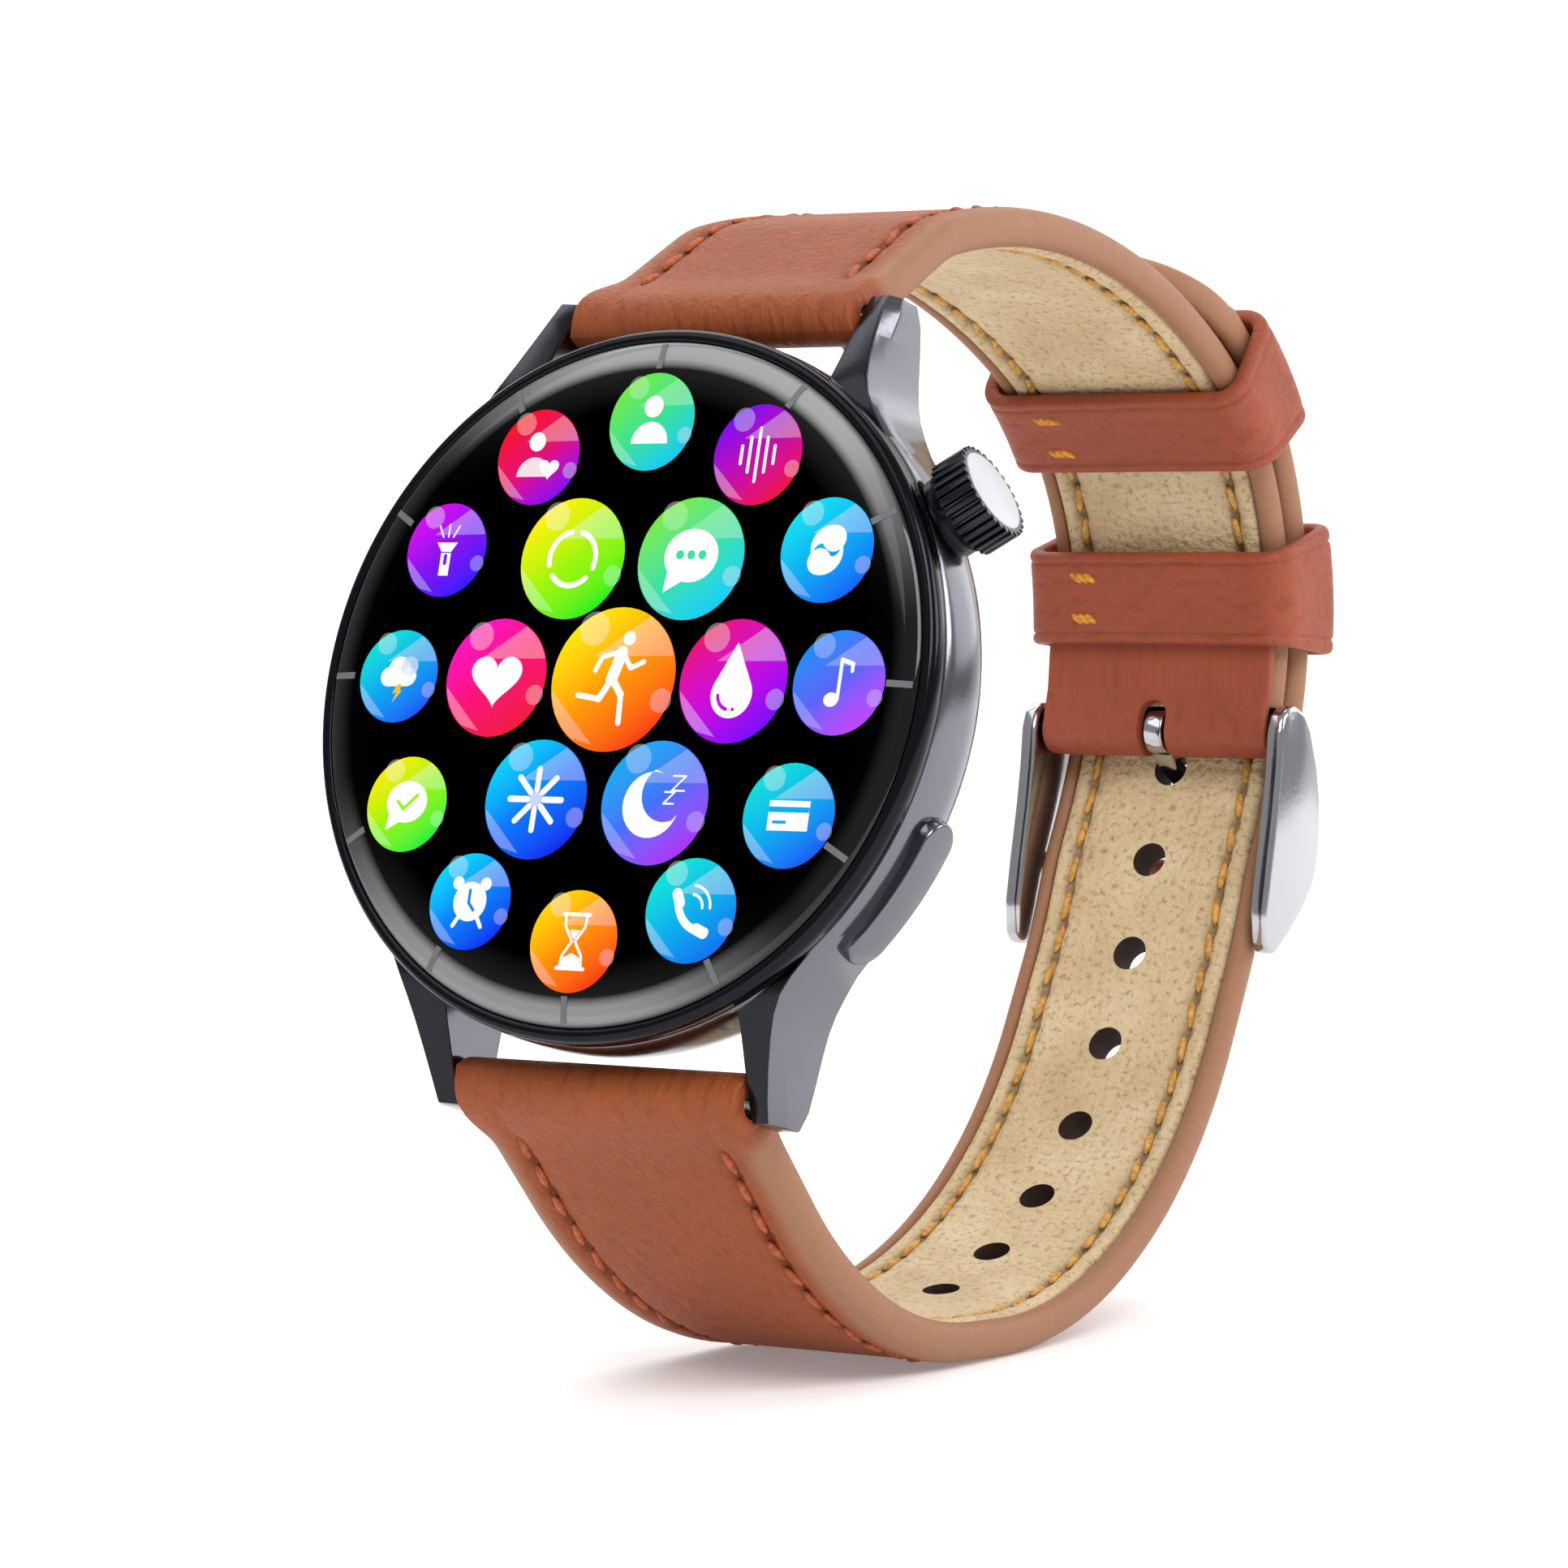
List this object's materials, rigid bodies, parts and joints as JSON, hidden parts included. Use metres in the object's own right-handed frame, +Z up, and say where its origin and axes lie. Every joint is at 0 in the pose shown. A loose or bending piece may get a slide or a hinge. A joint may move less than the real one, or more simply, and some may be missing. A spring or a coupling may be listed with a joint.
{
  "type": "smartwatch",
  "caption": "Round smartwatch with a lit icon dial, knurled crown, side pusher and a buckled brown leather strap on quick-release spring bars.",
  "frame": {"origin": "centre of the flat of the sensor window on the back of the case, where a wrist or a charger touches", "axes": "+X towards the crown side, +Y from the dial side towards the buckle, +Z up, towards 12 o'clock; the dial leans back 15 degrees from upright"},
  "size_m": [0.0472, 0.0833, 0.0765],
  "materials": {
    "case_steel": "polished dark PVD coating",
    "bezel_black": "polished black with a thin bright line",
    "cover_glass": "clear, strongly polished",
    "display": "black screen with lit round icons",
    "seal": "soft black seal",
    "copper_flex": "amber flexible circuit",
    "bracket": "satin",
    "board": "green circuit board",
    "bright_steel": "satin",
    "polished_steel": "mirror polished",
    "battery_wrap": "wrapped cell",
    "dark_plastic": "fine grain",
    "back_plastic": "gloss black",
    "sensor_glass": "polished dome",
    "gold_contact": "gold plated",
    "crown_black": "black, knurled edge",
    "chestnut_leather": "fine grain chestnut leather with stitched edges",
    "tan_lining": "pebbled beige lining",
    "keeper_leather": "reddish brown smooth leather"
  },
  "bodies": {
    "case": {"case_middle": "case_steel", "bezel_ring": "bezel_black", "cover_glass": "cover_glass", "glass_seal": "seal", "display_panel": "display", "display_flex": "copper_flex", "display_bracket": "bracket", "main_board": "board", "shield_can": "bright_steel", "battery": "battery_wrap", "vibration_motor": "bright_steel", "speaker": "dark_plastic", "microphone": "bright_steel", "back_cover": "back_plastic", "back_seal": "seal", "back_screws": "bright_steel", "sensor_window": "sensor_glass", "sensor_board": "board", "charging_contacts": "gold_contact", "charging_magnets": "bright_steel", "crown_tube": "crown_black", "crown_seal": "seal", "crown_spring": "bright_steel", "crown_switch": "dark_plastic", "button_seal": "seal", "button_switch": "dark_plastic", "upper_bar_tube": "bright_steel", "upper_bar_spring": "bright_steel", "lower_bar_tube": "bright_steel", "lower_bar_spring": "bright_steel"},
    "crown_push": {"crown_yoke": "gold_contact"},
    "crown": {"crown": "crown_black", "crown_cap": "polished_steel", "crown_stem": "bright_steel"},
    "button": {"side_button": "case_steel", "button_clip": "bright_steel"},
    "upper_plain_tip": {"upper_bar_tip": "bright_steel"},
    "upper_quick_tip": {"upper_release_tip": "bright_steel"},
    "lower_plain_tip": {"lower_bar_tip": "bright_steel"},
    "lower_quick_tip": {"lower_release_tip": "bright_steel"},
    "upper_strap_end": {"short_strap_leather_front": "chestnut_leather", "short_strap_lining_front": "tan_lining"},
    "strap_back": {"short_strap_leather_back": "chestnut_leather", "short_strap_lining_back": "tan_lining", "long_strap_leather_back": "chestnut_leather", "long_strap_lining_back": "tan_lining", "buckle_fold": "keeper_leather", "fixed_keeper": "keeper_leather", "buckle_pin": "polished_steel"},
    "lower_strap_end": {"long_strap_leather_front": "chestnut_leather", "long_strap_lining_front": "tan_lining"},
    "loose_keeper": {"floating_keeper": "keeper_leather"},
    "buckle": {"buckle_frame": "polished_steel"},
    "tongue": {"buckle_tongue": "polished_steel"}
  },
  "joints": [
    {"name": "crown_press", "type": "slide", "parent": "case", "child": "crown_push", "axis": [-0.8572, -0.1333, -0.4975], "range_m": [0, 0.00035], "stiffness_N_per_m": 1500, "springref_m": -0.0008, "deforming": ["crown_spring"]},
    {"name": "crown_turn", "type": "hinge", "parent": "crown_push", "child": "crown", "pos_m": [0, -0.00657, 0.00176], "axis": [0.8572, 0.1333, 0.4975], "continuous": true},
    {"name": "side_button_press", "type": "slide", "parent": "case", "child": "button", "axis": [-0.8572, 0.1333, 0.4975], "range_m": [0, 0.00035], "stiffness_N_per_m": 1500, "springref_m": -0.0008},
    {"name": "upper_plain_tip_slide", "type": "slide", "parent": "case", "child": "upper_plain_tip", "axis": [1, 0, 0], "range_m": [0, 0.00115], "stiffness_N_per_m": 600, "springref_m": -0.0015, "deforming": ["upper_bar_spring"]},
    {"name": "upper_quick_tip_slide", "type": "slide", "parent": "case", "child": "upper_quick_tip", "axis": [-1, 0, 0], "range_m": [0, 0.00115], "stiffness_N_per_m": 600, "springref_m": -0.0015, "deforming": ["upper_bar_spring"]},
    {"name": "lower_plain_tip_slide", "type": "slide", "parent": "case", "child": "lower_plain_tip", "axis": [1, 0, 0], "range_m": [0, 0.00115], "stiffness_N_per_m": 600, "springref_m": -0.0015, "deforming": ["lower_bar_spring"]},
    {"name": "lower_quick_tip_slide", "type": "slide", "parent": "case", "child": "lower_quick_tip", "axis": [-1, 0, 0], "range_m": [0, 0.00115], "stiffness_N_per_m": 600, "springref_m": -0.0015, "deforming": ["lower_bar_spring"]},
    {"name": "upper_strap_swing", "type": "hinge", "parent": "case", "child": "upper_strap_end", "pos_m": [0, 0.00092, 0.02584], "axis": [1, 0, 0], "range_deg": [-6, 6], "stiffness_Nm_per_rad": 0.5},
    {"name": "strap_back_rock", "type": "hinge", "parent": "upper_strap_end", "child": "strap_back", "pos_m": [0, 0.02292, 0.03252], "axis": [1, 0, 0], "range_deg": [-4.3, 4.3]},
    {"name": "lower_strap_flex", "type": "hinge", "parent": "strap_back", "child": "lower_strap_end", "pos_m": [0, 0.00283, -0.03697], "axis": [1, 0, 0], "range_deg": [-4.6, 4.6]},
    {"name": "loose_keeper_slide", "type": "hinge", "parent": "strap_back", "child": "loose_keeper", "pos_m": [0, 0.03837, 0.00623], "axis": [1, 0, 0], "range_deg": [-16, 4]},
    {"name": "buckle_lift", "type": "hinge", "parent": "strap_back", "child": "buckle", "pos_m": [0, 0.05847, -0.002], "axis": [1, 0, 0], "range_deg": [0, 4]},
    {"name": "tongue_lift", "type": "hinge", "parent": "strap_back", "child": "tongue", "pos_m": [0, 0.05847, -0.002], "axis": [1, 0, 0], "range_deg": [0, 4]}
  ],
  "couplings": [
    {"joint": "strap_back_rock", "follows": "upper_strap_swing", "ratio": -0.68967},
    {"joint": "lower_strap_flex", "follows": "upper_strap_swing", "ratio": 0.74365},
    {"joint": "tongue_lift", "follows": "buckle_lift", "ratio": 1}
  ]
}
